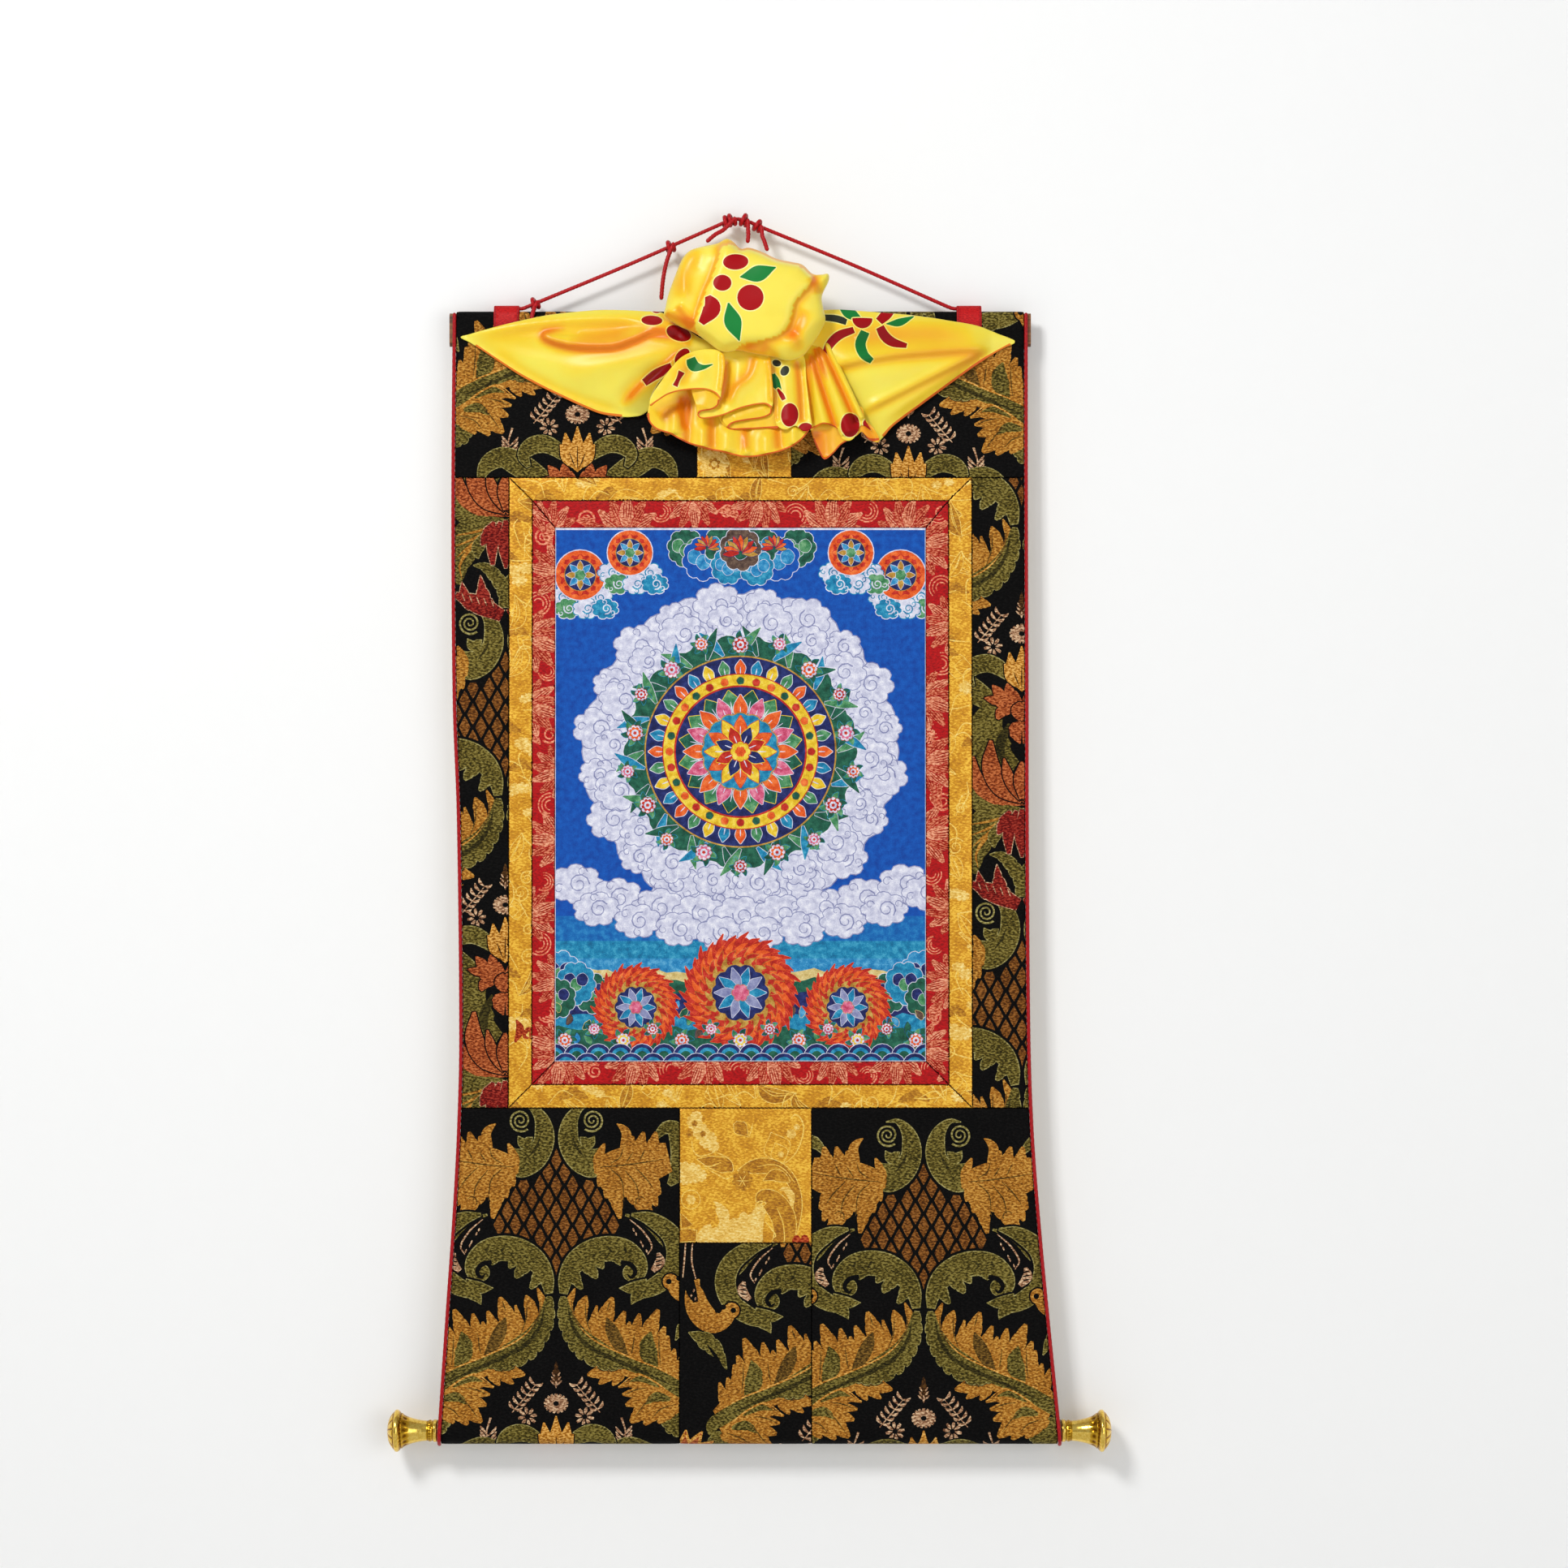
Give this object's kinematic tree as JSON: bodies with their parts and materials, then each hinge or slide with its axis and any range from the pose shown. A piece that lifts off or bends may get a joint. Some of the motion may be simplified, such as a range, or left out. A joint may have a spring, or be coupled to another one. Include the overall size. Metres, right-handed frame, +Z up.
{
  "type": "thangka scroll painting with batten, rod, knobs and hanging cord",
  "caption": "Thangka hanging scroll: picture in gold and red brocade bands and a dark brocade mount, tied-up yellow silk veil, cord on a batten, rod with brass knobs.",
  "frame": {"origin": "the point under the hanging cord's peak where it rests on the wall nail", "axes": "+Z up, -Y out of the wall towards the viewer, +X to the viewer's right"},
  "size_m": [0.5825, 0.0648, 0.9965],
  "materials": {
    "dark_brocade": "figured black brocade with ochre, olive and rust scrollwork, backed with pasted cotton",
    "gold_brocade": "golden yellow swirled brocade with a soft lustre",
    "red_brocade": "crimson brocade with salmon scrolling flowers",
    "painted_canvas": "matte painted canvas in blue, orange, pink, green and gold",
    "red_silk": "twisted crimson silk cord and ribbon",
    "yellow_silk": "thin glossy yellow silk with dark red berries and green leaves printed",
    "wood": "plain dark wood",
    "brass": "polished yellow brass with punched ornament on the domed ends"
  },
  "bodies": {
    "root": {"top_panel": "dark_brocade", "side_panel_left": "dark_brocade", "side_panel_right": "dark_brocade", "bottom_panel_left": "dark_brocade", "bottom_panel_centre": "dark_brocade", "bottom_panel_right": "dark_brocade", "gold_door": "gold_brocade", "gold_tab": "gold_brocade", "gold_band_top": "gold_brocade", "gold_band_bottom": "gold_brocade", "gold_band_left": "gold_brocade", "gold_band_right": "gold_brocade", "red_band_top": "red_brocade", "red_band_bottom": "red_brocade", "red_band_left": "red_brocade", "red_band_right": "red_brocade", "picture": "painted_canvas", "binding_left": "red_silk", "binding_right": "red_silk", "batten": "wood", "rod": "wood", "knob_left": "brass", "knob_right": "brass", "strap_left": "red_silk", "strap_right": "red_silk", "hanging_cord": "red_silk", "tie_left": "red_silk", "tie_right": "red_silk", "tie_right_outer": "red_silk", "tie_stay": "red_silk", "knot_left": "red_silk", "veil": "yellow_silk"}
  },
  "joints": []
}
